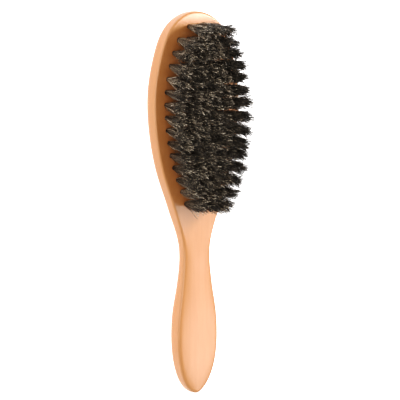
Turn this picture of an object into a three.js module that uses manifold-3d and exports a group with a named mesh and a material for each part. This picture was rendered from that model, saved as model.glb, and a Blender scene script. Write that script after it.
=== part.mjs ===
// A wooden body dry brush with drawn bristles, in millimetres.
//
// The brush lies on its back with its bristles up. The head points along +X, the
// handle along -X, and the width runs along Y. The origin is under the middle of the
// brush, on the flat back.
//
// A drawn brush is a drilled board. Each row of tufts is held by one wire, which comes
// up through a small hole behind each tuft, passes over the fold in the middle of its
// bristles and goes down again. A lid let into the back of the head covers the wires.

import * as THREE from 'three';
import { ParametricGeometry } from 'three/addons/geometries/ParametricGeometry.js';
import { mergeVertices } from 'three/addons/utils/BufferGeometryUtils.js';
import Module from 'manifold-3d';

const wasm = await Module();
wasm.setup();

// Board
const LENGTH = 220;
const THICKNESS = 12.6;
const BACK_RADIUS = 7.8; // rounding of the edge of the back
const HEAD_EDGE_RADIUS = 1.2; // rounding of the front edge on the head
const HANDLE_EDGE_RADIUS = 1.8; // the same on the handle
const NECK_DISTANCE = 142; // from the head tip to the slimmest section
const NECK_REACH = 34; // the neck's thinning fades out this far either side
const NECK_HOLLOW = 0.7; // taken off the front at the neck
const NECK_LIFT = 1.8; // taken off the back at the neck
const HANDLE_CROWN = 0.8; // the handle's front stands this much higher along its middle
const CROWN_POWER = 2.6; // the crown's fall towards the edge
const END_DROP = 1.8; // the front falls this much at the handle tip
const END_REACH = 25; // over this length
const HEAD_DROP = 1; // and this much at the head tip
const HEAD_REACH = 8; // over this length

// Fullness of the plan outline at even stations from the head tip to the handle tip.
// The half width is the fullness times that of a circle on the whole length.
const FULLNESS = [0.437, 0.3685, 0.33, 0.2815, 0.2225, 0.1465, 0.0895, 0.1065, 0.157, 0.201, 0.23];

// Bristles
const ROWS = 15;
const ROW_PITCH = 7.05;
const FIELD_DISTANCE = 57.5; // from the head tip to the middle row
const FIELD_MARGIN = 7.9; // from the edge of the board to the outer tufts
const SHORTEST_ROW = 11.2; // between the outer tufts of a row, at the least
const TUFT_PITCH = 7.6; // widest spacing of tufts within a row
const BRISTLE_LENGTH = 20; // free length above the board
const TUFT_RADIUS = 1.2; // at the mouth of the hole
const SPREAD_RADIUS = 3; // where the bristles have fanned out
const SPREAD_RISE = 0.4; // share of the free length up to there
const FULL_RADIUS = 3.4; // where the tuft is widest
const FULL_RISE = 0.8;
const TIP_RADIUS = 2.5; // at the tips
const TUFT_OVERLAP = 0.15; // neighbours in a row meet where they are widest
const ROW_LEAN = 0.8; // how far the tips of the end rows lean towards the middle row

// Holes and wires
const HOLE_RADIUS = 1.4;
const HOLE_DEPTH = 7;
const WIRE_HOLE_RADIUS = 0.95;
const WIRE = 0.4; // thickness of the wire
const STRAND_OFFSET = 0.55; // each strand runs this far from the middle of its hole
const FOLD_HEIGHT = 0.9; // the wire passes over this much folded bristle
const FOLD_HALF_WIDTH = 0.25;
const FOLD_HALF_SPAN = 1;
const FOLD_CLEARANCE = 0.15; // between the folded bristles and the wire or the hole

// Lid
const LID_THICKNESS = 3.6;
const LID_MARGIN = 4.4; // from the edge of the board to the lid
const LID_GAP = 0.3; // between the lid and the wall of its recess
const POCKET_MARGIN = 5.4; // from the edge of the board to the wire pocket
const POCKET_DEPTH = 0.8;
const LID_END = 124; // from the head tip to the end of the lid at the neck
const LID_TAPER = 26; // the lid rounds off over this length
const POCKET_END = 121.5;

const SIDES = 6; // facets of a tuft and of a hole
const OVERCUT = 1; // cutting shapes run this far past the face they cut

const material = (color, roughness, metalness) =>
  new THREE.MeshStandardMaterial({ color, roughness, metalness });
const BEECH = material('#f3bb8c', 0.5, 0);
const BRISTLE = material('#2a211a', 0.7, 0);
const STEEL = material('#b9bcc0', 0.35, 1);

// ---- Plan outline -------------------------------------------------------------

const fullnessCurve = new THREE.SplineCurve(FULLNESS.map((f) => new THREE.Vector2(0, f)));
const fullness = (s) => fullnessCurve.getPoint(THREE.MathUtils.clamp(s / LENGTH, 0, 1)).y;

// The square of the half width, at s from the head tip.
const squaredHalfWidth = (s) => fullness(s) ** 2 * s * (LENGTH - s);

// Half width times its slope. It stays finite at the tips, where the slope doesn't.
function slopeProduct(s) {
  const step = 0.5;
  return (squaredHalfWidth(s + step) - squaredHalfWidth(s - step)) / (4 * step);
}

// A circle centred on the axis touches the outline at s: its radius is the length of
// the outline's normal, and depths under the edge are measured along that normal.
function edgeCircle(s) {
  const run = Math.abs(slopeProduct(s));
  return { run, radius: Math.sqrt(Math.max(0, squaredHalfWidth(s)) + run * run) };
}

// Half width of the outline moved inwards by depth, and 0 where nothing is left.
function insetHalfWidth(s, depth) {
  const { run, radius } = edgeCircle(s);
  return Math.sqrt(Math.max(0, Math.max(0, radius - depth) ** 2 - run * run));
}

// ---- Board --------------------------------------------------------------------

// 1 at the neck, fading smoothly to 0 towards the head and the handle.
function neckShare(s) {
  const away = Math.min(1, Math.abs(s - NECK_DISTANCE) / NECK_REACH);
  return (1 + Math.cos(Math.PI * away)) / 2;
}

// How far a rounded edge falls away at a depth under the edge.
const edgeFall = (radius, depth) =>
  depth >= radius ? 0 : radius - Math.sqrt(radius ** 2 - (radius - depth) ** 2);

// Height of the front, where across runs from 0 in the middle to 1 at the edge.
function frontHeight(s, depth, across) {
  const share = THREE.MathUtils.smoothstep(s, FIELD_DISTANCE * 2, NECK_DISTANCE);
  const radius = THREE.MathUtils.lerp(HEAD_EDGE_RADIUS, HANDLE_EDGE_RADIUS, share);
  const crown = HANDLE_CROWN * share * (1 - across ** CROWN_POWER);
  const endDrop = END_DROP * Math.max(0, (s - LENGTH + END_REACH) / END_REACH) ** 2;
  const headDrop = HEAD_DROP * Math.max(0, (HEAD_REACH - s) / HEAD_REACH) ** 2;
  const height = THICKNESS - NECK_HOLLOW * neckShare(s) + crown - endDrop - headDrop;
  return height - edgeFall(radius, depth);
}

const backHeight = (s, depth) => NECK_LIFT * neckShare(s) + edgeFall(BACK_RADIUS, depth);

// The section's corners from the middle of the front to the middle of the back. Each
// lies at a share of the half width that is left at its depth under the edge.
function halfSection() {
  const face = (depth, shares, front) => shares.map((share) => ({ depth, share, front }));
  const rounding = (radius, count, front) =>
    Array.from({ length: count + 1 }, (_, i) => ({
      depth: radius * (1 - Math.sin((Math.PI / 2) * (i / count))),
      share: 1,
      front,
    }));
  return [
    ...face(HANDLE_EDGE_RADIUS, [0, 0.45, 0.78], true),
    ...rounding(HANDLE_EDGE_RADIUS, 2, true),
    ...rounding(BACK_RADIUS, 4, false).reverse(),
    ...face(BACK_RADIUS, [0], false),
  ];
}

function boardBlank() {
  const half = halfSection();
  const lastCorner = half.length - 1;
  const around = 2 * lastCorner;
  const stations = 46;

  const surface = (u, v, target) => {
    const s = (LENGTH * (1 - Math.cos(Math.PI * v))) / 2;
    const turn = Math.round(u * around);
    const side = turn <= lastCorner ? 1 : -1;
    const corner = half[turn <= lastCorner ? turn : around - turn];
    const { run, radius } = edgeCircle(s);
    const depth = Math.min(corner.depth, radius - run);
    const y = corner.share * insetHalfWidth(s, depth);
    const across = y / Math.max(insetHalfWidth(s, 0), 1e-6);
    const z = corner.front ? frontHeight(s, depth, across) : backHeight(s, depth);
    target.set(LENGTH / 2 - s, side * y, z);
  };
  return solid(new ParametricGeometry(surface, around, stations));
}

// ---- Solids -------------------------------------------------------------------

// A closed geometry as a solid for cutting and joining. Corners that meet are merged,
// and triangles that have shrunk to a line are dropped.
function solid(geometry) {
  geometry.deleteAttribute('normal');
  geometry.deleteAttribute('uv');
  const merged = mergeVertices(geometry, 1e-4);
  const index = merged.index.array;
  const kept = [];
  for (let i = 0; i < index.length; i += 3) {
    const [a, b, c] = [index[i], index[i + 1], index[i + 2]];
    if (a !== b && b !== c && c !== a) kept.push(a, b, c);
  }
  return new wasm.Manifold(
    new wasm.Mesh({
      numProp: 3,
      vertProperties: new Float32Array(merged.attributes.position.array),
      triVerts: new Uint32Array(kept),
    })
  );
}

function geometryOf(body) {
  const mesh = body.getMesh();
  const geometry = new THREE.BufferGeometry();
  geometry.setAttribute('position', new THREE.BufferAttribute(mesh.vertProperties, 3));
  geometry.setIndex(new THREE.BufferAttribute(mesh.triVerts, 1));
  const faceted = geometry.toNonIndexed();
  faceted.computeVertexNormals();
  return faceted;
}

const joined = (bodies) => bodies.reduce((all, body) => all.add(body));

// A solid of revolution about Z, from points [radius, height] that start and end on
// the axis. Its facets put a corner on the X axis.
function turned(profile) {
  const points = profile.map(([radius, height]) => new THREE.Vector2(radius, height));
  return new THREE.LatheGeometry(points, SIDES, Math.PI / 2).rotateX(Math.PI / 2);
}

// A shape drawn across the brush, with Y to the right and Z up, and given a thickness
// along X about the plane x = 0.
function slabAcross(shape, thickness) {
  const toPlace = new THREE.Matrix4().makeBasis(
    new THREE.Vector3(0, 1, 0),
    new THREE.Vector3(0, 0, 1),
    new THREE.Vector3(1, 0, 0)
  );
  return new THREE.ExtrudeGeometry(shape, { depth: thickness, bevelEnabled: false })
    .translate(0, 0, -thickness / 2)
    .applyMatrix4(toPlace);
}

// ---- Layout of the tufts ------------------------------------------------------

function rowLayout(number) {
  const fromMiddle = (ROWS - 1) / 2 - number;
  const distance = FIELD_DISTANCE - fromMiddle * ROW_PITCH;
  const halfWidth = Math.max(insetHalfWidth(distance, FIELD_MARGIN), SHORTEST_ROW / 2);
  const gaps = Math.ceil((2 * halfWidth) / TUFT_PITCH);
  const pitch = (2 * halfWidth) / gaps;
  return {
    x: LENGTH / 2 - distance,
    pitch,
    places: Array.from({ length: gaps + 1 }, (_, i) => i * pitch - halfWidth),
    lean: (-ROW_LEAN * fromMiddle) / ((ROWS - 1) / 2),
  };
}

const rows = Array.from({ length: ROWS }, (_, number) => rowLayout(number));

const holeFloor = THICKNESS - HOLE_DEPTH;
const pocketTop = LID_THICKNESS + POCKET_DEPTH;
const foldFoot = holeFloor + FOLD_CLEARANCE;
const wireCrossing = foldFoot + FOLD_HEIGHT + FOLD_CLEARANCE; // underside of the wire
const tuftFoot = wireCrossing + WIRE + FOLD_CLEARANCE;

// ---- Pieces -------------------------------------------------------------------

// How far from the head tip the inset outline starts.
function insetStart(margin) {
  let [outside, inside] = [0, LENGTH / 4];
  while (inside - outside > 1e-3) {
    const middle = (inside + outside) / 2;
    if (insetHalfWidth(middle, margin) > 0) inside = middle;
    else outside = middle;
  }
  return inside;
}

// The plan shape of the lid or of the wire pocket: the head's outline moved inwards
// and rounded off towards the neck.
function headShape(margin, end) {
  const half = [];
  const count = 26;
  const start = insetStart(margin);
  for (let i = 0; i <= count; i++) {
    const s = THREE.MathUtils.lerp(start, end, (1 - Math.cos((Math.PI * i) / count)) / 2);
    const past = Math.max(0, (s - end + LID_TAPER) / LID_TAPER);
    const y = insetHalfWidth(s, margin) * Math.sqrt(Math.max(0, 1 - past ** 2));
    half.push(new THREE.Vector2(LENGTH / 2 - s, y));
  }
  const other = half.slice(1, -1).reverse().map((p) => new THREE.Vector2(p.x, -p.y));
  return new THREE.Shape([...half, ...other]);
}

function headPrism(margin, end, bottom, top) {
  const body = new THREE.ExtrudeGeometry(headShape(margin, end), {
    depth: top - bottom,
    bevelEnabled: false,
  });
  return solid(body.translate(0, 0, bottom));
}

function tuftHole() {
  return turned([
    [0, LID_THICKNESS],
    [WIRE_HOLE_RADIUS, LID_THICKNESS],
    [WIRE_HOLE_RADIUS, holeFloor],
    [HOLE_RADIUS, holeFloor],
    [HOLE_RADIUS, THICKNESS + OVERCUT],
    [0, THICKNESS + OVERCUT],
  ]);
}

function bristleBoard(blank) {
  const recess = headPrism(LID_MARGIN - LID_GAP, LID_END + LID_GAP, -OVERCUT, LID_THICKNESS);
  const pocket = headPrism(POCKET_MARGIN, POCKET_END, LID_THICKNESS - OVERCUT, pocketTop);
  const holes = rows.flatMap(({ x, places }) =>
    places.map((y) => solid(tuftHole().translate(x, y, 0)))
  );
  return blank.subtract(recess).subtract(pocket).subtract(joined(holes));
}

function backLid(blank) {
  return blank.intersect(headPrism(LID_MARGIN, LID_END, -OVERCUT, LID_THICKNESS));
}

// The bristles' fold: a ring round the wire, across the row, under the tuft.
function tuftFold() {
  const inner = WIRE / 2 + FOLD_CLEARANCE;
  const ring = new THREE.Shape([
    new THREE.Vector2(-FOLD_HALF_SPAN, foldFoot),
    new THREE.Vector2(FOLD_HALF_SPAN, foldFoot),
    new THREE.Vector2(FOLD_HALF_SPAN, tuftFoot + WIRE),
    new THREE.Vector2(-FOLD_HALF_SPAN, tuftFoot + WIRE),
  ]);
  ring.holes.push(
    new THREE.Path([
      new THREE.Vector2(-inner, foldFoot + FOLD_HEIGHT),
      new THREE.Vector2(-inner, tuftFoot),
      new THREE.Vector2(inner, tuftFoot),
      new THREE.Vector2(inner, foldFoot + FOLD_HEIGHT),
    ])
  );
  return new THREE.ExtrudeGeometry(ring, { depth: 2 * FOLD_HALF_WIDTH, bevelEnabled: false })
    .translate(0, 0, -FOLD_HALF_WIDTH)
    .rotateX(Math.PI / 2);
}

// One tuft at the middle of its row: straight in the hole, then fanning out, with its
// outer bristles a little shorter than the middle ones.
function tuft(sideways, lean) {
  const geometry = turned([
    [0, tuftFoot],
    [TUFT_RADIUS, tuftFoot],
    [TUFT_RADIUS, THICKNESS],
    [SPREAD_RADIUS, THICKNESS + BRISTLE_LENGTH * SPREAD_RISE],
    [FULL_RADIUS, THICKNESS + BRISTLE_LENGTH * FULL_RISE],
    [TIP_RADIUS, THICKNESS + BRISTLE_LENGTH],
    [0, THICKNESS + BRISTLE_LENGTH],
  ]);
  const position = geometry.attributes.position;
  for (let i = 0; i < position.count; i++) {
    const risen = Math.max(0, (position.getZ(i) - THICKNESS) / BRISTLE_LENGTH);
    position.setX(i, position.getX(i) + lean * risen);
    const fanned = Math.min(1, risen / FULL_RISE);
    position.setY(i, position.getY(i) * THREE.MathUtils.lerp(1, sideways, fanned));
  }
  return geometry;
}

function tuftRow({ pitch, places, lean }) {
  const toFacet = FULL_RADIUS * Math.cos(Math.PI / SIDES); // out to a facet that faces a neighbour
  const sideways = (pitch / 2 + TUFT_OVERLAP) / toFacet;
  const one = solid(tuft(sideways, lean)).add(solid(tuftFold()));
  return joined(places.map((y) => one.translate([0, y, 0])));
}

// The wire runs along the pocket and makes a tall narrow bend in every hole.
function drawWire({ places }) {
  const outer = [];
  const inner = [];
  const low = pocketTop - POCKET_DEPTH / 2 - WIRE / 2;
  const high = wireCrossing + WIRE;
  const [near, far] = [STRAND_OFFSET - WIRE / 2, STRAND_OFFSET + WIRE / 2];
  for (const y of places) {
    outer.push([y - far, low + WIRE], [y - far, high]);
    outer.push([y + far, high], [y + far, low + WIRE]);
    inner.push([y - near, low], [y - near, wireCrossing]);
    inner.push([y + near, wireCrossing], [y + near, low]);
  }
  outer[0] = [places[0] - far, low];
  outer[outer.length - 1] = [places.at(-1) + far, low];
  const outline = [...outer, ...inner.reverse()].map(([y, z]) => new THREE.Vector2(y, z));
  return solid(slabAcross(new THREE.Shape(outline), WIRE));
}

function piece(name, body, surface) {
  const mesh = new THREE.Mesh(geometryOf(body), surface.clone());
  mesh.name = name;
  return mesh;
}

function brush() {
  const group = new THREE.Group();
  const blank = boardBlank();
  group.add(piece('bristle_board', bristleBoard(blank), BEECH));
  group.add(piece('back_lid', backLid(blank), BEECH));
  rows.forEach((row, i) => {
    const number = String(i + 1).padStart(2, '0');
    const tufts = piece(`tuft_row_${number}`, tuftRow(row), BRISTLE);
    const wire = piece(`draw_wire_${number}`, drawWire(row), STEEL);
    tufts.position.x = row.x;
    wire.position.x = row.x;
    group.add(tufts, wire);
  });
  return group;
}

export default brush();
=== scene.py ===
"""The look of the body dry brush: lacquered beech and natural bristle round the CAD frame.

The brush lies on its back on a pale floor, head towards +X and bristles up. Lengths are in
millimetres and are turned into metres as the meshes are made. Only the studio is in metres.
"""

import math

import bmesh
import bpy
import numpy as np
from mathutils import Matrix, Quaternion, Vector


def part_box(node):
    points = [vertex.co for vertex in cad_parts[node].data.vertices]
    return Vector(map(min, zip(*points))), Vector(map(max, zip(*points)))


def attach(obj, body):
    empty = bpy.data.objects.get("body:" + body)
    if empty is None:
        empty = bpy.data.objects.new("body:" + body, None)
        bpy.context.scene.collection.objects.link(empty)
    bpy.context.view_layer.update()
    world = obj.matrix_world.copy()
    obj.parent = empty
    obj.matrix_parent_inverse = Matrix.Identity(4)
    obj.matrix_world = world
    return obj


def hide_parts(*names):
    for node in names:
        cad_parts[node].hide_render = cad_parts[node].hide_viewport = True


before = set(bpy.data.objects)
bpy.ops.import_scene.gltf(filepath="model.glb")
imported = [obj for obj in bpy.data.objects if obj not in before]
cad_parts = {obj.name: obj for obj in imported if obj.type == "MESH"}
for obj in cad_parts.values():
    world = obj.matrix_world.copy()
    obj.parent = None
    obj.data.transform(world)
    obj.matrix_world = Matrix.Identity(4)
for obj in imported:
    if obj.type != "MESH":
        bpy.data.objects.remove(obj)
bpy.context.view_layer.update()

MM = 0.001

# ---- Dimensions -------------------------------------------------------------------

board_low, board_high = (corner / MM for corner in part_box("bristle_board"))
LENGTH = board_high.x - board_low.x
HEAD_TIP = board_high.x
THICKNESS = 12.6
TIP_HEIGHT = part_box("tuft_row_08")[1].z / MM
BRISTLE_LENGTH = TIP_HEIGHT - THICKNESS

BACK_RADIUS = 7.8  # rounding of the edge of the back
HEAD_EDGE_RADIUS = 1.2  # rounding of the front edge on the head
HANDLE_EDGE_RADIUS = 1.8  # the same on the handle
NECK_DISTANCE = 142.0  # from the head tip to the slimmest section
NECK_REACH = 34.0  # the neck's thinning fades out this far either side
NECK_HOLLOW = 0.7  # taken off the front at the neck
NECK_LIFT = 1.8  # taken off the back at the neck
HANDLE_CROWN = 0.8  # the handle's front stands this much higher along its middle
CROWN_POWER = 2.6  # the crown's fall towards the edge
END_DROP = 1.8  # the front falls this much at the handle tip
END_REACH = 25.0  # over this length
HEAD_DROP = 1.0  # and this much at the head tip
HEAD_REACH = 8.0  # over this length
FIELD_DISTANCE = 57.5  # from the head tip to the middle row

# Fullness of the plan outline at even stations from the head tip to the handle tip. The
# half width is the fullness times that of a circle on the whole length.
FULLNESS = [0.437, 0.3685, 0.33, 0.2815, 0.2225, 0.1465, 0.0895, 0.1065, 0.157, 0.201, 0.23]

HOLE_RADIUS = 1.35
HOLE_CHAMFER = 0.18  # at the mouth of a hole
HOLE_TAPER = 0.4  # height of the step down to the wire hole
WIRE_HOLE_RADIUS = 0.9
FOLD_CLEARANCE = 0.15  # under the folded bristles
WIRE_RADIUS = 0.2
WIRE_OFFSET = 0.55  # each strand runs this far from the middle of its hole
WIRE_BEND = 0.22  # radius of the wire's bends
LID_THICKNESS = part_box("back_lid")[1].z / MM
LID_MARGIN = 4.4  # from the edge of the board to the lid
LID_SEAM = 0.12  # between the lid and the wall of its recess
LID_END = 124.0  # from the head tip to the end of the lid at the neck
LID_TAPER = 26.0  # the lid rounds off over this length
POCKET_MARGIN = 5.4  # from the edge of the board to the wire pocket
POCKET_DEPTH = 0.8
POCKET_END = 121.5
OVERCUT = 1.0  # cutting shapes run this far past the face they cut
ROW_COUNT = 15

TUFT_RADIUS = 1.05  # at the mouth of the hole
SPREAD_ALONG = 3.6  # how far the tips fan out along their row
SPREAD_ACROSS = 3.3  # and across it
END_NARROWING = 0.25  # share by which the end tufts of the first row fan out less across it
HANDLE_LEAN = 0.8  # all tips lean this far towards the handle
SIDE_LEAN = 2.2  # the tips of the tufts at the +Y ends of the rows lean this far outwards
FAR_LEAN_HEAD = -2.2  # the same on the -Y side, in the rows near the head
FAR_LEAN_HANDLE = 1.5  # and in the last row
FAR_LEAN_FIRST = 4.0  # but the first row stands out
CORNER_LEAN = 1.0  # the tufts at the -Y ends of the rows lean this much more to the handle
HEAD_FAN = 2.3  # but in the rows near the head they lean this much back towards the head
END_TUCK = 1.6  # the +Y ends of the first and last rows lean this much towards the middle
STRAY_LEAN = 0.5  # and each tuft leans about this far its own way
END_PAINTED_SHADE = 0.3  # painted shade: share by which the bristles at the -Y ends are darker, on the sides turned away from the key light
END_PAINTED_LIGHT = 0.03  # painted light: and lighter at the +Y ends, on the sides turned towards the fill light

WISPS = 16  # the ends of a tuft cling together in this many wisps
WISP_CLING = 0.35  # the largest share by which its bristles are drawn to its middle
WISP_LENGTH = (0.93, 1.03)  # range of the wisps' lengths against their tuft's
WISP_HOOK = 0.8  # sideways bend of the tips, wisp by wisp
WISP_SHADE = 0.2  # share of a bristle's shade that comes from its wisp

HAIRS_PER_TUFT = 120  # each is folded in two, so a tuft shows twice as many ends
HAIR_RADIUS = 0.12
DARK_SHARE = 0.85  # share of the radius that the darkest bristles have
PALE_THICKER = 0.7  # share by which the palest ones are thicker
TIP_THINNER = 0.2  # share by which a bristle thins to its tip
LENGTH_SHARE = 1.02  # mean length of the middle bristles against the CAD height
LENGTH_SPREAD = 0.09  # share of the length by which the bristles of a tuft differ
OUTER_SHORTER = 0.15  # share of its length that an outermost bristle lacks
FAN_RANGE = (0.85, 1.12)  # how far the bristles fan out against their tuft
FAN_STRAY = 0.12
FAN_CURVE = (1.4, 3.2)  # a higher power fans out nearer to the hole
HALF_STRAY = 0.08  # the two halves of a bristle leave the hole as mirror images, but for this
LEAN_CURVE = 1.2  # power by which a lean grows from the hole to the tip
WAVE = 0.13  # sideways wave of the bristles
WAVE_COUNT = (1.2, 2.6)  # waves in the length of a bristle
WAVE_STRAY = 1.2  # by how many radians the waves of a wisp are out of step
TIP_HOOK = 0.85  # sideways bend of the tips, bristle by bristle
HOOK_START = (0.35, 0.75)  # share of the length where the bend of a tip begins
HOOK_CURVE = 1.6
HOOK_DROP = 0.02  # share of the length that a tip sinks for each millimetre of its bend
WILD_SHARE = 0.07  # bristles that stand away from their tuft
WILD_REACH = 2.5
WILD_CURVE = 1.5
SEED = 7

# Stations along half a bristle, from the mouth of its hole at 0 to its tip at 1.
LEG_STEPS = np.array([0, 0.1, 0.2, 0.32, 0.44, 0.55, 0.65, 0.74, 0.83, 0.92, 1])

FOLD_NEAR = 0.32  # from the wire's middle to the legs of the innermost folds
FOLD_REACH = 0.6  # the legs of the outermost ones are this much further away
FOLD_ALONG = 0.27  # the folds lie side by side this far along the row
FOLD_SAG = 0.75  # a wider fold hangs lower, by this share of its half width
FOLD_RISE = 0.5  # a fold begins this far above the wire

# Stations of a fold: the place across, as a share of its half width, and the share of its drop.
FOLD_STEPS = ((1, 0.0), (0.75, 0.7), (0, 1.0), (-0.75, 0.7), (-1, 0.0))

# Steps, sides and tolerances of the meshes.
BOARD_STATIONS = 240
FRONT_STEPS = 12  # from the middle of the front to its edge
FRONT_EDGE_STEPS = 8
BACK_EDGE_STEPS = 14
BACK_STEPS = 6
LID_STATIONS = 90
SEARCH_STEPS = 4000  # to find where an inset outline begins
DRILL_SIDES = 28
HAIR_SIDES = 3
WIRE_SIDES = 8
WIRE_BEND_STEPS = 4
SHARP_ANGLE = 32.0  # edges of the wood that bend by more degrees stay crisp
MERGE_DISTANCE = 2e-6  # metres
LEVEL = 0.01  # CAD corners this close in height are on one level

# ---- Studio, in metres, watts and degrees -------------------------------------------

FLOOR_RADIUS = 2.5
FLOOR_GAP = 0.0002  # the floor lies this far under the brush
FLOOR_GLOW = 0.5  # what the floor sheds on the brush
FLOOR_WHITE = 0.9  # what the camera sees on top of that, so that the floor stays white
SKY = 0.45  # strength of the sky as a light
KEY = 1.2  # power of each light
PANEL = 4.3
SHEEN = 2.5
FILL = 2.7
GLINT = 0.1

CAMERA_TILT = 36.95  # from straight above the front, round towards +Y
CAMERA_LEAD = 10.45  # from square to the length, towards the head
CAMERA_ROLL = -0.16
CAMERA_DISTANCE = 0.7773
CAMERA_LENS = 123.0
AIM_RIGHT = 4.71 * MM  # the camera's shift in its own picture plane
AIM_UP = 3.4 * MM
AIM_HEIGHT = 6.5 * MM

# Points of the film's response: the tone that arrives and the tone that is shown.
CONTRAST_FOOT = ((0.06, 0.028), (0.15, 0.104), (0.36, 0.333))


# ---- Plan outline and section of the board ------------------------------------------


def fullness(s):
    """Catmull-Rom curve through the fullness values, at s from the head tip."""
    t = np.clip(s / LENGTH, 0, 1) * (len(FULLNESS) - 1)
    i = np.minimum(t.astype(int), len(FULLNESS) - 2)
    w = t - i
    values = np.array([FULLNESS[0], *FULLNESS, FULLNESS[-1]])
    p0, p1, p2, p3 = values[i], values[i + 1], values[i + 2], values[i + 3]
    v0, v1 = (p2 - p0) / 2, (p3 - p1) / 2
    cubic = (2 * p1 - 2 * p2 + v0 + v1) * w**3 + (-3 * p1 + 3 * p2 - 2 * v0 - v1) * w**2
    return cubic + v0 * w + p1


def squared_half_width(s):
    """Square of the outline's half width. Past either tip it is negative."""
    return fullness(s) ** 2 * s * (LENGTH - s)


def edge_circle(s):
    """Radius and run of the circle on the axis that touches the outline at s."""
    step = 0.5
    run = np.abs(squared_half_width(s + step) - squared_half_width(s - step)) / (4 * step)
    return np.sqrt(np.maximum(0, squared_half_width(s)) + run**2), run


def inset_half_width(s, depth):
    """Half width of the outline moved inwards by depth."""
    radius, run = edge_circle(s)
    return np.sqrt(np.maximum(0, np.maximum(0, radius - depth) ** 2 - run**2))


def neck_share(s):
    """1 at the slimmest section of the neck, fading to 0 on either side of it."""
    away = np.minimum(1, np.abs(s - NECK_DISTANCE) / NECK_REACH)
    return (1 + np.cos(math.pi * away)) / 2


def smoothstep(value, low, high):
    t = np.clip((value - low) / (high - low), 0, 1)
    return t * t * (3 - 2 * t)


def edge_fall(radius, depth):
    """How far a rounded edge has fallen away, at a depth inside the outline."""
    return radius - np.sqrt(np.maximum(0, radius**2 - np.maximum(0, radius - depth) ** 2))


def front_height(s, depth, across):
    """Height of the front, where across runs from 0 in the middle to 1 at the edge."""
    share = smoothstep(s, FIELD_DISTANCE * 2, NECK_DISTANCE)
    radius = HEAD_EDGE_RADIUS + (HANDLE_EDGE_RADIUS - HEAD_EDGE_RADIUS) * share
    crown = HANDLE_CROWN * share * (1 - across**CROWN_POWER)
    end_drop = END_DROP * np.maximum(0, (s - LENGTH + END_REACH) / END_REACH) ** 2
    head_drop = HEAD_DROP * np.maximum(0, (HEAD_REACH - s) / HEAD_REACH) ** 2
    height = THICKNESS - NECK_HOLLOW * neck_share(s) + crown - end_drop - head_drop
    return height - edge_fall(radius, depth)


def back_height(s, depth):
    """Height of the back, which lifts off the floor at the neck and at the edge."""
    return NECK_LIFT * neck_share(s) + edge_fall(BACK_RADIUS, depth)


# ---- Meshes -----------------------------------------------------------------------


def new_object(name, mesh):
    piece = bpy.data.objects.new(name, mesh)
    bpy.context.scene.collection.objects.link(piece)
    return piece


def grid_mesh(name, points):
    """A closed tube mesh from points[station][corner], whose ends close on themselves."""
    stations, around, _ = points.shape
    low = np.arange(stations - 1)[:, None] * around
    high = low + around
    i = np.arange(around)
    j = (i + 1) % around
    quads = np.stack([low + i, low + j, high + j, high + i], axis=-1)
    mesh = bpy.data.meshes.new(name)
    mesh.from_pydata((points.reshape(-1, 3) * MM).tolist(), [], quads.reshape(-1, 4).tolist())
    merge_close(mesh)
    return mesh


def merge_close(mesh):
    """Join corners that coincide, drop faces without area and turn all faces outwards."""
    work = bmesh.new()
    work.from_mesh(mesh)
    bmesh.ops.remove_doubles(work, verts=work.verts, dist=MERGE_DISTANCE)
    bmesh.ops.dissolve_degenerate(work, edges=work.edges, dist=MERGE_DISTANCE / 4)
    bmesh.ops.recalc_face_normals(work, faces=work.faces)
    work.to_mesh(mesh)
    work.free()


def board_blank():
    """The board before it is drilled: sections along the length, each a closed loop."""
    s = LENGTH * (1 - np.cos(np.linspace(0, math.pi, BOARD_STATIONS))) / 2
    radius, run = edge_circle(s)
    deepest = radius - run
    share = smoothstep(s, FIELD_DISTANCE * 2, NECK_DISTANCE)
    front_radius = HEAD_EDGE_RADIUS + (HANDLE_EDGE_RADIUS - HEAD_EDGE_RADIUS) * share
    half_width = np.maximum(inset_half_width(s, 0), 1e-9)
    corners = []

    def corner(depth, fraction, front):
        """Add one corner to all sections, at a fraction of the half width inset by depth."""
        depth = np.minimum(depth, deepest)
        y = inset_half_width(s, depth) * fraction
        across = y / half_width
        z = front_height(s, depth, across) if front else back_height(s, depth)
        if front and fraction < 1:
            z = front_height(s, np.minimum(deepest, front_radius), across)
        corners.append(np.stack([HEAD_TIP - s, y, z], axis=-1))

    for i in range(FRONT_STEPS):
        corner(front_radius, i / FRONT_STEPS, True)
    for i in range(FRONT_EDGE_STEPS + 1):
        corner(front_radius * (1 - math.sin(math.pi / 2 * i / FRONT_EDGE_STEPS)), 1, True)
    for i in range(BACK_EDGE_STEPS + 1):
        corner(BACK_RADIUS * (1 - math.cos(math.pi / 2 * i / BACK_EDGE_STEPS)), 1, False)
    for i in range(1, BACK_STEPS + 1):
        corner(np.full_like(s, BACK_RADIUS), 1 - i / BACK_STEPS, False)
    half = np.stack(corners, axis=1)
    other = half[:, -2:0:-1] * (1, -1, 1)
    return grid_mesh("blank", np.concatenate([half, other], axis=1))


def head_outline(margin, end):
    """Outline of the lid or of its recess: the head moved inwards, rounded off at the neck."""
    inside = np.linspace(0, LENGTH / 4, SEARCH_STEPS)
    start = inside[np.argmax(inset_half_width(inside, margin) > 0)]
    s = start + (end - start) * (1 - np.cos(np.linspace(0, math.pi, LID_STATIONS))) / 2
    past = np.maximum(0, (s - end + LID_TAPER) / LID_TAPER)
    y = inset_half_width(s, margin) * np.sqrt(np.maximum(0, 1 - past**2))
    y[0] = y[-1] = 0
    half = np.stack([HEAD_TIP - s, y], axis=-1)
    return np.concatenate([half, half[-2:0:-1] * (1, -1)])


def prism(name, outline, bottom, top):
    """An upright solid on a plan outline."""
    count = len(outline)
    low = [(x * MM, y * MM, bottom * MM) for x, y in outline]
    high = [(x * MM, y * MM, top * MM) for x, y in outline]
    faces = [tuple(range(count)), tuple(range(2 * count - 1, count - 1, -1))]
    faces += [(i, (i + 1) % count, count + (i + 1) % count, count + i) for i in range(count)]
    mesh = bpy.data.meshes.new(name)
    mesh.from_pydata(low + high, [], faces)
    merge_close(mesh)
    return new_object(name, mesh)


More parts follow.
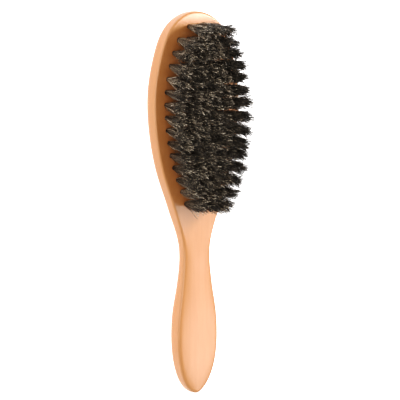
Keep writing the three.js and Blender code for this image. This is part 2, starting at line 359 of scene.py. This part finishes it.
def drills(places):
    """The stepped drill that cuts every hole, one copy at each place, as one object."""
    sides = DRILL_SIDES
    mouth_radius = HOLE_RADIUS + HOLE_CHAMFER
    profile = [
        (WIRE_HOLE_RADIUS, LID_THICKNESS - OVERCUT),
        (WIRE_HOLE_RADIUS, HOLE_FLOOR),
        (HOLE_RADIUS, HOLE_FLOOR + HOLE_TAPER),
        (HOLE_RADIUS, THICKNESS - HOLE_CHAMFER),
        (mouth_radius, THICKNESS),
        (mouth_radius, THICKNESS + OVERCUT),
    ]
    turn = np.arange(sides) * 2 * math.pi / sides
    circle = list(zip(np.cos(turn), np.sin(turn)))
    verts, faces = [], []
    for x, y in places:
        base = len(verts)
        for radius, height in profile:
            for cosine, sine in circle:
                verts.append(((x + radius * cosine) * MM, (y + radius * sine) * MM, height * MM))
        last = base + (len(profile) - 1) * sides
        faces.append([base + i for i in reversed(range(sides))])
        faces.append([last + i for i in range(sides)])
        for ring in range(len(profile) - 1):
            low = base + ring * sides
            for i in range(sides):
                j = (i + 1) % sides
                faces.append([low + i, low + j, low + sides + j, low + sides + i])
    mesh = bpy.data.meshes.new("drills")
    mesh.from_pydata(verts, [], faces)
    return new_object("drills", mesh)


def cut(piece, tool, operation="DIFFERENCE"):
    """Cut a piece with a tool, which is used up."""
    modifier = piece.modifiers.new("cut", "BOOLEAN")
    modifier.object = tool
    modifier.operation = operation
    modifier.solver = "MANIFOLD"
    bpy.context.view_layer.update()
    done = piece.evaluated_get(bpy.context.evaluated_depsgraph_get())
    mesh = bpy.data.meshes.new_from_object(done)
    piece.modifiers.clear()
    piece.data = mesh
    bpy.data.objects.remove(tool)


def finish_shading(piece):
    piece.data.shade_smooth()
    piece.data.set_sharp_from_angle(angle=math.radians(SHARP_ANGLE))


# ---- Places of the tufts, from the CAD rows ---------------------------------------


def row_layout(node):
    """Middle of a row, the places of its tufts, the lean of its tips and the height of its foot.

    The lowest corners of a tuft lie at two places in Y, and its middle is half way between.
    """
    co = np.array([v.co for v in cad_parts[node].data.vertices]) / MM
    foot = co[co[:, 2] < co[:, 2].min() + LEVEL]
    x = (foot[:, 0].min() + foot[:, 0].max()) / 2
    edges = np.unique(np.round(foot[:, 1], 2))
    places = (edges[0::2] + edges[1::2]) / 2
    tips = co[co[:, 2] > co[:, 2].max() - LEVEL]
    lean = (tips[:, 0].min() + tips[:, 0].max()) / 2 - x
    return {"x": x, "places": places, "lean": lean, "foot": co[:, 2].min()}


ROWS = [row_layout(f"tuft_row_{i:02d}") for i in range(1, ROW_COUNT + 1)]
HOLE_FLOOR = ROWS[0]["foot"] - FOLD_CLEARANCE
WIRE_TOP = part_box("draw_wire_01")[1].z / MM
WIRE_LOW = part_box("draw_wire_01")[0].z / MM


# ---- Board and lid ----------------------------------------------------------------


def make_board():
    """The drilled board, and the lid that is cut from the same blank so that it lies flush."""
    board = new_object("board", board_blank())
    blank = board.data.copy()
    recess = head_outline(LID_MARGIN - LID_SEAM, LID_END + LID_SEAM)
    cut(board, prism("recess", recess, -OVERCUT, LID_THICKNESS))
    pocket = head_outline(POCKET_MARGIN, POCKET_END)
    cut(board, prism("pocket", pocket, LID_THICKNESS - OVERCUT, LID_THICKNESS + POCKET_DEPTH))
    cut(board, drills([(row["x"], y) for row in ROWS for y in row["places"]]))
    finish_shading(board)
    lid = new_object("lid", blank)
    lid_form = prism("lid_form", head_outline(LID_MARGIN, LID_END), -OVERCUT, LID_THICKNESS)
    cut(lid, lid_form, "INTERSECT")
    finish_shading(lid)
    return board, lid


# ---- Strands: bristles and wires --------------------------------------------------


def unit(v):
    return v / np.maximum(np.linalg.norm(v, axis=-1, keepdims=True), 1e-12)


def strand_mesh(name, points, radii, side_ways, sides, values):
    """Thin tubes along points[strand][step], as one mesh.

    side_ways is a direction for each strand that its path never runs along, and values
    holds named numbers for every point.
    """
    strands, steps, _ = points.shape
    ahead = np.concatenate([points[:, 1:], points[:, -1:]], axis=1)
    behind = np.concatenate([points[:, :1], points[:, :-1]], axis=1)
    along = unit(ahead - behind)
    across = side_ways[:, None, :]
    first = unit(across - (across * along).sum(-1, keepdims=True) * along)
    second = np.cross(along, first)
    turn = np.arange(sides) * 2 * math.pi / sides
    cosine, sine = np.cos(turn)[:, None], np.sin(turn)[:, None]
    ring = cosine * first[:, :, None, :] + sine * second[:, :, None, :]
    co = (points[:, :, None, :] + radii[:, :, None, None] * ring).reshape(-1, 3) * MM

    base = (np.arange(strands) * steps * sides)[:, None, None]
    low = base + (np.arange(steps - 1) * sides)[None, :, None]
    high = low + sides
    i = np.arange(sides)
    j = (i + 1) % sides
    quads = np.stack([low + i, low + j, high + j, high + i], axis=-1)
    starts = base[:, 0] + i[::-1]
    ends = base[:, 0] + (steps - 1) * sides + i
    loops = np.concatenate([quads.ravel(), starts.ravel(), ends.ravel()]).astype(np.int32)
    sizes = np.concatenate([np.full(quads.size // 4, 4), np.full(2 * strands, sides)])
    loop_starts = np.cumsum(sizes) - sizes

    mesh = bpy.data.meshes.new(name)
    mesh.vertices.add(len(co))
    mesh.vertices.foreach_set("co", co.astype(np.float32).ravel())
    mesh.loops.add(len(loops))
    mesh.loops.foreach_set("vertex_index", loops)
    mesh.polygons.add(len(sizes))
    mesh.polygons.foreach_set("loop_start", loop_starts.astype(np.int32))
    mesh.polygons.foreach_set("loop_total", sizes.astype(np.int32))
    mesh.update(calc_edges=True)
    mesh.validate()
    mesh.shade_smooth()
    for key, value in values.items():
        layer = mesh.attributes.new(key, "FLOAT", "POINT")
        layer.data.foreach_set("value", np.repeat(value.reshape(-1), sides).astype(np.float32))
    return new_object(name, mesh)


def in_disc(rng, count):
    """Random places in a circle of radius 1."""
    angle = rng.uniform(0, 2 * math.pi, count)
    away = np.sqrt(rng.random(count))
    return np.stack([away * np.cos(angle), away * np.sin(angle)], axis=-1)


def leg(rng, wisps, centre, start, lean, spread):
    """Paths of one half of each hair of a tuft, from the hole to the tip, and their wisps.

    start holds the place of each hair in the mouth of the hole, in a circle of radius 1.
    """
    count = len(start)
    apart = np.linalg.norm(start[:, None] - wisps["place"][None], axis=-1)
    nearest = apart.argmin(axis=1)
    cling = wisps["cling"][nearest][:, None]
    target = start * (1 - cling) + wisps["place"][nearest] * cling
    target = target * rng.uniform(*FAN_RANGE, (count, 1)) + rng.normal(0, FAN_STRAY, (count, 2))
    outer = (target**2).sum(-1, keepdims=True)
    share = LENGTH_SHARE + rng.normal(0, LENGTH_SPREAD, (count, 1)) - OUTER_SHORTER * outer
    length = BRISTLE_LENGTH * share * wisps["length"][nearest][:, None]

    step = LEG_STEPS[None, :, None]
    mouth = (start * TUFT_RADIUS)[:, None]
    fan = 1 - (1 - step) ** rng.uniform(*FAN_CURVE, (count, 1, 1))
    plan = mouth + ((target * spread)[:, None] - mouth) * fan
    plan = plan + lean * step**LEAN_CURVE
    phase = wisps["phase"][nearest][:, None] + rng.normal(0, WAVE_STRAY, (count, 1, 2))
    waves = rng.uniform(*WAVE_COUNT, (count, 1, 2))
    plan = plan + WAVE * step * np.sin(phase + waves * step * 2 * math.pi)
    wild = (rng.random((count, 1)) < WILD_SHARE) * rng.normal(0, WILD_REACH, (count, 2))
    plan = plan + wild[:, None] * step**WILD_CURVE
    hook = wisps["hook"][nearest] + rng.normal(0, TIP_HOOK, (count, 2))
    late = rng.uniform(*HOOK_START, (count, 1, 1))
    plan = plan + hook[:, None] * np.clip((step - late) / (1 - late), 0, 1) ** HOOK_CURVE
    sink = HOOK_DROP * np.linalg.norm(hook, axis=-1)[:, None, None] * step**3
    height = THICKNESS + length[:, None, :] * (step - sink)
    return np.concatenate([centre + plan, height], axis=-1), nearest


def tuft_hairs(rng, centre, lean, spread):
    """Folded hairs of one tuft: tip, mouth, round the wire, mouth, tip. Also their shades."""
    count = HAIRS_PER_TUFT
    wisps = {
        "place": in_disc(rng, WISPS),
        "cling": rng.uniform(0.0, WISP_CLING, WISPS),
        "length": rng.uniform(*WISP_LENGTH, WISPS),
        "phase": rng.uniform(0, 2 * math.pi, (WISPS, 2)),
        "hook": rng.normal(0, WISP_HOOK, (WISPS, 2)),
        "shade": rng.random(WISPS),
    }
    start = in_disc(rng, count)
    start[:, 0] = np.abs(start[:, 0])
    far = start * np.array([-1.0, 1.0]) + rng.normal(0, HALF_STRAY, (count, 2))
    right, right_wisp = leg(rng, wisps, centre, start, lean, spread)
    left, left_wisp = leg(rng, wisps, centre, far, lean, spread)

    fold_x = FOLD_NEAR + FOLD_REACH * start[:, 0]
    fold_y = FOLD_ALONG * start[:, 1]
    fold_z = WIRE_TOP - 2 * WIRE_RADIUS - fold_x * FOLD_SAG
    fold = []
    for side, drop in FOLD_STEPS:
        z = (WIRE_TOP + FOLD_RISE) * (1 - drop) + fold_z * drop
        fold.append(np.stack([centre[0] + side * fold_x, centre[1] + fold_y, z], axis=-1))
    points = np.concatenate([right[:, ::-1], np.stack(fold, axis=1), left], axis=1)

    own = rng.random(count) * (1 - WISP_SHADE)
    right_shade = wisps["shade"][right_wisp] * WISP_SHADE + own
    left_shade = wisps["shade"][left_wisp] * WISP_SHADE + own
    left_steps = len(LEG_STEPS) + len(FOLD_STEPS) // 2
    right_shades = np.repeat(right_shade[:, None], points.shape[1] - left_steps, axis=1)
    left_shades = np.repeat(left_shade[:, None], left_steps, axis=1)
    return points, np.concatenate([right_shades, left_shades], axis=1)


def make_row(number, row):
    """All bristles of one row, each tuft with its own lean, fan and tone; the tone holds painted
    shade at the -Y end of the row and a little painted light at the +Y end.
    """
    rng = np.random.default_rng(SEED + number)
    front = 1 - 2 * number / (len(ROWS) - 1)  # 1 in the first row, -1 in the last
    far_lean = FAR_LEAN_HANDLE + (FAR_LEAN_HEAD - FAR_LEAN_HANDLE) * (1 + front) / 2
    if number == 0:
        far_lean = FAR_LEAN_FIRST
    tufts = []
    for y in row["places"]:
        side = y / row["places"][-1]
        outward = SIDE_LEAN if side > 0 else far_lean
        corner = CORNER_LEAN - HEAD_FAN * math.sin(math.pi * max(0, front))
        back = HANDLE_LEAN + corner * max(0, -side) + END_TUCK * front**3 * max(0, side)
        lean = np.array([row["lean"] - back, outward * side**3])
        lean = lean + rng.normal(0, STRAY_LEAN, 2)
        across = SPREAD_ACROSS * (1 - END_NARROWING * (1 + front) / 2 * abs(side) ** 3)
        spread = np.array([across, SPREAD_ALONG])
        points, shades = tuft_hairs(rng, np.array([row["x"], y]), lean, spread)
        # Painted shade on the tufts at the -Y end of the row, painted light on those at the +Y
        # end.
        tone = 1 - END_PAINTED_SHADE * max(0, -side) ** 2 + END_PAINTED_LIGHT * max(0, side) ** 2
        tufts.append((points, shades * tone))
    points = np.concatenate([points for points, _ in tufts])
    shade = np.concatenate([shades for _, shades in tufts])
    one_rise = np.concatenate([LEG_STEPS[::-1], np.zeros(len(FOLD_STEPS)), LEG_STEPS])
    rise = np.tile(one_rise, (len(points), 1))
    radii = HAIR_RADIUS * (DARK_SHARE + PALE_THICKER * shade**4) * (1 - TIP_THINNER * rise**2)
    side_ways = np.tile(np.array([0.0, 1.0, 0.0]), (len(points), 1))
    name = f"bristles_row_{number + 1:02d}"
    return strand_mesh(name, points, radii, side_ways, HAIR_SIDES, {"rise": rise, "shade": shade})


def make_wire(number, row):
    """A round wire along the pocket, with a tall bend in every hole.

    It turns up into the hole at the foot, turns over the top at the shoulder, and comes down
    on the other side in the same way.
    """
    low = WIRE_LOW + WIRE_RADIUS
    high = WIRE_TOP - WIRE_RADIUS
    turn = np.linspace(0, math.pi / 2, WIRE_BEND_STEPS)
    growing = WIRE_BEND * (1 - np.cos(turn))
    shrinking = WIRE_BEND * (1 - np.sin(turn))
    foot = np.stack([-WIRE_OFFSET - shrinking, low + growing], axis=-1)
    shoulder = np.stack([growing - WIRE_OFFSET, high - shrinking], axis=-1)
    up = np.concatenate([foot, shoulder])
    bend = np.concatenate([up, up[::-1] * (-1, 1)])
    path = np.concatenate([bend + (y, 0) for y in row["places"]])
    points = np.stack([np.full(len(path), row["x"]), path[:, 0], path[:, 1]], axis=-1)[None]
    radii = np.full((1, len(path)), WIRE_RADIUS)
    side_ways = np.array([[1.0, 0.0, 0.0]])
    return strand_mesh(f"wire_{number + 1:02d}", points, radii, side_ways, WIRE_SIDES, {})


# ---- Materials --------------------------------------------------------------------


class Nodes:
    """Short calls for building a node tree."""

    def __init__(self, name):
        self.material = bpy.data.materials.new(name)
        self.material.use_nodes = True
        self.tree = self.material.node_tree
        self.shader = self.tree.nodes["Principled BSDF"]

    def add(self, kind, **settings):
        node = self.tree.nodes.new(kind)
        for key, value in settings.items():
            setattr(node, key, value)
        return node

    def link(self, source, target):
        self.tree.links.new(source, target)

    def place(self, scale):
        """Place on the piece, in metres, stretched by scale."""
        coordinates = self.add("ShaderNodeTexCoord")
        mapping = self.add("ShaderNodeMapping")
        mapping.inputs["Scale"].default_value = scale
        self.link(coordinates.outputs["Object"], mapping.inputs["Vector"])
        return mapping.outputs["Vector"]

    def noise(self, scale, size, detail=3.0, roughness=0.5, distortion=0.0):
        node = self.add("ShaderNodeTexNoise")
        node.inputs["Scale"].default_value = size
        node.inputs["Detail"].default_value = detail
        node.inputs["Roughness"].default_value = roughness
        node.inputs["Distortion"].default_value = distortion
        self.link(self.place(scale), node.inputs["Vector"])
        return node.outputs["Fac"]

    def ramp(self, source, stops):
        """Colours at positions from 0 to 1, for a value that a node puts out."""
        node = self.add("ShaderNodeValToRGB")
        elements = node.color_ramp.elements
        while len(elements) < len(stops):
            elements.new(0.5)
        for element, (position, colour) in zip(elements, stops):
            element.position = position
            element.color = (*colour, 1)
        self.link(source, node.inputs["Fac"])
        return node.outputs["Color"]

    def mix(self, factor, a, b, blend="MIX"):
        """Mix two colours. For colours the node uses inputs 0, 6 and 7 and output 2."""
        node = self.add("ShaderNodeMix", data_type="RGBA", blend_type=blend)
        for source, target in ((factor, node.inputs[0]), (a, node.inputs[6]), (b, node.inputs[7])):
            if isinstance(source, bpy.types.NodeSocket):
                self.link(source, target)
            else:
                target.default_value = source if target == node.inputs[0] else (*source, 1)
        return node.outputs[2]

    def math(self, operation, a, b=0.0):
        node = self.add("ShaderNodeMath", operation=operation)
        for source, target in ((a, node.inputs[0]), (b, node.inputs[1])):
            if isinstance(source, bpy.types.NodeSocket):
                self.link(source, target)
            else:
                target.default_value = source
        return node.outputs[0]

    def bump(self, height, strength, distance):
        node = self.add("ShaderNodeBump")
        node.inputs["Strength"].default_value = strength
        node.inputs["Distance"].default_value = distance
        self.link(height, node.inputs["Height"])
        self.link(node.outputs["Normal"], self.shader.inputs["Normal"])


def beech_material(name, shift):
    """Clear-lacquered beech: faint lengthwise grain, short flecks and a satin coat.

    shift sets the grain of one piece apart from that of another.
    """
    n = Nodes(name)
    band = n.noise((5 + shift, 60, 60), 5.0, 4.0, 0.55, 0.6)
    tones = [(0.3, (0.8, 0.335, 0.1)), (0.55, (0.82, 0.355, 0.112)), (0.75, (0.84, 0.375, 0.125))]
    base = n.ramp(band, tones)
    streak = n.noise((3, 260, 260), 4.0, 5.0, 0.6)
    streaks = n.ramp(streak, [(0.35, (0.95, 0.91, 0.87)), (0.6, (1, 1, 1))])
    wood = n.mix(0.35, base, streaks, "MULTIPLY")
    fleck = n.noise((60, 800, 800), 3.0, 2.0, 0.5)
    flecks = n.ramp(fleck, [(0.62, (1, 1, 1)), (0.7, (0.86, 0.76, 0.66))])
    wood = n.mix(0.35, wood, flecks, "MULTIPLY")
    n.link(wood, n.shader.inputs["Base Color"])
    wear = n.noise((8, 40, 40), 8.0, 3.0)
    rough = n.ramp(wear, [(0.3, (0.45, 0.45, 0.45)), (0.7, (0.55, 0.55, 0.55))])
    n.link(rough, n.shader.inputs["Roughness"])
    n.shader.inputs["Specular IOR Level"].default_value = 0.7
    n.shader.inputs["Coat Weight"].default_value = 1.0
    n.shader.inputs["Coat Roughness"].default_value = 0.3
    n.shader.inputs["Coat IOR"].default_value = 1.8
    n.bump(n.math("ADD", streak, fleck), 0.12, 0.0002)
    return n.material


def bristle_material():
    """Natural bristle: near black to pale from hair to hair, the lighter ones with pale tips.

    The meshes carry shade, from 0 for the darkest hair to about 1 for the lightest, with painted
    shade on the tufts at the -Y ends of the rows and a little painted light at the +Y ends, and
    rise, from 0 in the hole to 1 at the tip. Fine specks of painted glint and shade lie over the
    hairs towards their tips.
    """
    n = Nodes("bristle")
    shade = n.add("ShaderNodeAttribute", attribute_name="shade").outputs["Fac"]
    rise = n.add("ShaderNodeAttribute", attribute_name="rise").outputs["Fac"]
    dark, brown, pale = (0.1, 0.082, 0.062), (0.32, 0.265, 0.2), (0.8, 0.7, 0.56)
    hair = n.ramp(shade, [(0.3, dark), (0.7, brown), (0.95, pale)])
    dark, brown, pale = (0.05, 0.04, 0.029), (0.2, 0.16, 0.115), (0.95, 0.84, 0.68)
    tip = n.ramp(shade, [(0.5, dark), (0.75, brown), (0.84, pale)])
    at_tip = n.ramp(rise, [(0.84, (0, 0, 0)), (0.95, (1, 1, 1))])
    hair = n.mix(at_tip, hair, tip)
    # Painted glints and shade: a fine noise brightens and darkens the hairs in specks, more
    # towards their tips, standing in for tips that catch the light. The same noise varies the
    # roughness.
    glint_and_gloss_noise = n.noise((1, 1, 1), 1700.0, 2.0)
    painted_glints = n.ramp(glint_and_gloss_noise, [(0.41, (0.28, 0.28, 0.28)), (0.59, (1.85, 1.82, 1.8))])
    hair = n.mix(rise, hair, painted_glints, "MULTIPLY")
    n.link(hair, n.shader.inputs["Base Color"])
    rough = n.ramp(glint_and_gloss_noise, [(0.3, (0.22, 0.22, 0.22)), (0.7, (0.4, 0.4, 0.4))])
    n.link(rough, n.shader.inputs["Roughness"])
    n.shader.inputs["Specular IOR Level"].default_value = 1.0
    return n.material


def wire_material():
    """Drawn steel wire."""
    n = Nodes("wire")
    marks = n.noise((40, 900, 900), 6.0, 3.0)
    grey = n.ramp(marks, [(0.3, (0.5, 0.5, 0.51)), (0.7, (0.66, 0.66, 0.67))])
    n.link(grey, n.shader.inputs["Base Color"])
    n.shader.inputs["Metallic"].default_value = 1.0
    n.shader.inputs["Roughness"].default_value = 0.3
    n.bump(marks, 0.1, 0.0001)
    return n.material


def floor_material():
    """Pale studio floor, lit up so that it stays almost white."""
    n = Nodes("floor")
    n.shader.inputs["Base Color"].default_value = (0.8, 0.8, 0.8, 1)
    n.shader.inputs["Roughness"].default_value = 0.9
    n.shader.inputs["Specular IOR Level"].default_value = 0.1
    n.shader.inputs["Emission Color"].default_value = (1, 1, 1, 1)
    seen = n.add("ShaderNodeLightPath").outputs["Is Camera Ray"]
    glow = n.math("MULTIPLY_ADD", seen, FLOOR_WHITE)
    glow.node.inputs[2].default_value = FLOOR_GLOW
    n.link(glow, n.shader.inputs["Emission Strength"])
    return n.material


# ---- Assembly ---------------------------------------------------------------------


def dress(piece, material, node):
    """Give a piece its material and put it in the place of a node of the frame."""
    piece.data.materials.clear()
    piece.data.materials.append(material)
    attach(piece, "root")
    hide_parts(node)


board, lid = make_board()
dress(board, beech_material("beech", 0.0), "bristle_board")
dress(lid, beech_material("beech_lid", 1.5), "back_lid")
bristle = bristle_material()
steel = wire_material()
for number, row in enumerate(ROWS):
    dress(make_row(number, row), bristle, f"tuft_row_{number + 1:02d}")
    dress(make_wire(number, row), steel, f"draw_wire_{number + 1:02d}")


# ---- Studio -----------------------------------------------------------------------


def make_floor():
    """A round floor under the brush."""
    sides = 64
    turn = np.arange(sides) * 2 * math.pi / sides
    mesh = bpy.data.meshes.new("floor")
    verts = [(FLOOR_RADIUS * math.cos(a), FLOOR_RADIUS * math.sin(a), -FLOOR_GAP) for a in turn]
    mesh.from_pydata(verts, [], [list(range(sides))])
    mesh.materials.append(floor_material())
    new_object("floor", mesh)


def make_world():
    """An even sky that looks white to the camera and lights the brush more softly."""
    world = bpy.data.worlds.new("studio")
    world.use_nodes = True
    tree = world.node_tree
    background = tree.nodes["Background"]
    background.inputs["Color"].default_value = (1, 1, 1, 1)
    light_path = tree.nodes.new("ShaderNodeLightPath")
    strength = tree.nodes.new("ShaderNodeMapRange")
    strength.inputs["To Min"].default_value = SKY
    strength.inputs["To Max"].default_value = 1.0
    tree.links.new(light_path.outputs["Is Camera Ray"], strength.inputs["Value"])
    tree.links.new(strength.outputs["Result"], background.inputs["Strength"])
    bpy.context.scene.world = world


def make_light(name, place, width, height, power):
    """A soft box at place, in metres, that faces the middle of the brush."""
    data = bpy.data.lights.new(name, "AREA")
    data.shape = "RECTANGLE"
    data.size = width
    data.size_y = height
    data.energy = power
    lamp = bpy.data.objects.new(name, data)
    bpy.context.scene.collection.objects.link(lamp)
    lamp.location = place
    lamp.rotation_euler = (Vector((0, 0, 0)) - Vector(place)).to_track_quat("-Z", "Y").to_euler()
    return lamp


def make_camera():
    """A long lens that looks down on the front from the side and slightly from the head.

    away points from the brush to the camera, and the length of the brush is up in the picture.
    """
    tilt, lead = math.radians(CAMERA_TILT), math.radians(CAMERA_LEAD)
    square = math.cos(lead)
    away = Vector((math.sin(lead), math.sin(tilt) * square, math.cos(tilt) * square))
    up = (Vector((1, 0, 0)) - away * away.x).normalized()
    up.rotate(Quaternion(away, math.radians(CAMERA_ROLL)))
    right = up.cross(away)
    camera = bpy.data.objects.new("camera", bpy.data.cameras.new("camera"))
    bpy.context.scene.collection.objects.link(camera)
    camera.data.lens = CAMERA_LENS
    camera.data.clip_start = 0.01
    middle = Vector((0, 0, AIM_HEIGHT))
    camera.location = middle + away * CAMERA_DISTANCE + right * AIM_RIGHT + up * AIM_UP
    camera.rotation_euler = Matrix((right, up, away)).transposed().to_euler()
    bpy.context.scene.camera = camera


def set_contrast():
    """A film response with a soft foot: dark tones fall off a little, light ones stay."""
    view = bpy.context.scene.view_settings
    view.view_transform = "Standard"
    view.use_curve_mapping = True
    combined = view.curve_mapping.curves[3]  # after one curve each for red, green and blue
    for tone, shown in CONTRAST_FOOT:
        combined.points.new(tone, shown)
    view.curve_mapping.update()


make_floor()
make_world()
make_light("key", (0.25, -0.38, 0.39), 0.16, 0.16, KEY)
sheen = make_light("sheen", (-0.45, -0.7, 0.86), 0.5, 0.5, SHEEN)
sheen.visible_diffuse = False
panel = make_light("panel", (0.17, -0.7, 0.86), 0.45, 0.4, PANEL)
panel.visible_glossy = False
make_light("fill", (0.15, 0.8, 0.52), 1.0, 0.6, FILL)
make_light("glint", (0.05, 0.22, 1.0), 0.3, 0.3, GLINT)
make_camera()
set_contrast()
